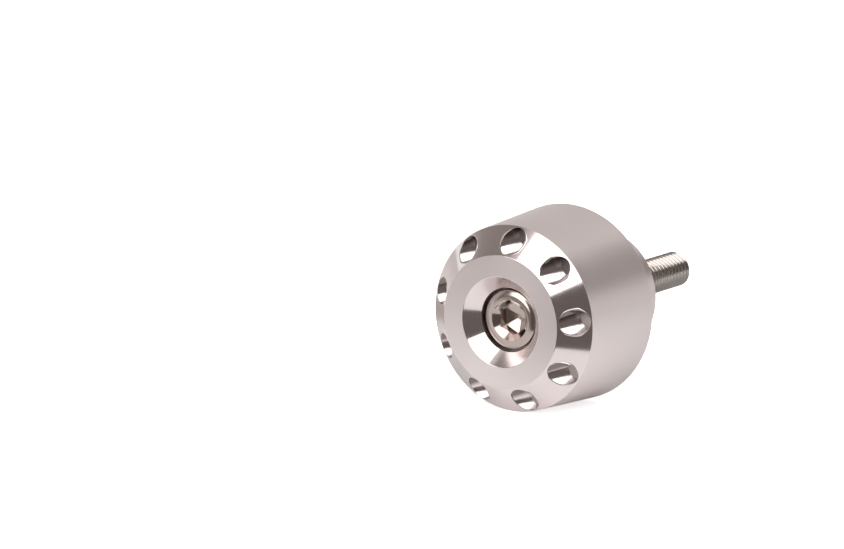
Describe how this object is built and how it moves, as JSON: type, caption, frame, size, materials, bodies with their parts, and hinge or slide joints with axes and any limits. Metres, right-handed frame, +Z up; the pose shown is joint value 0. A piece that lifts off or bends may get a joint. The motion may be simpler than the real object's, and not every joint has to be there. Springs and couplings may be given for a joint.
{
  "type": "bar end weight",
  "caption": "Turned aluminium handlebar end weight with a pocketed chamfer, a dished screw recess, a stepped boss with a flatted register and a socket cap screw.",
  "frame": {"origin": "centre of the annular seat on the boss that butts against the end of the handlebar tube", "axes": "+Y along the turning axis and the screw, into the handlebar; the dished face looks along -Y; +Z is up, opposite the register's flat"},
  "size_m": [0.0334, 0.0537, 0.0334],
  "materials": {
    "turned_aluminium": "fine turned, natural",
    "screw_steel": "plain bright"
  },
  "bodies": {
    "root": {"end_weight": "turned_aluminium", "cap_screw": "screw_steel"}
  },
  "joints": []
}
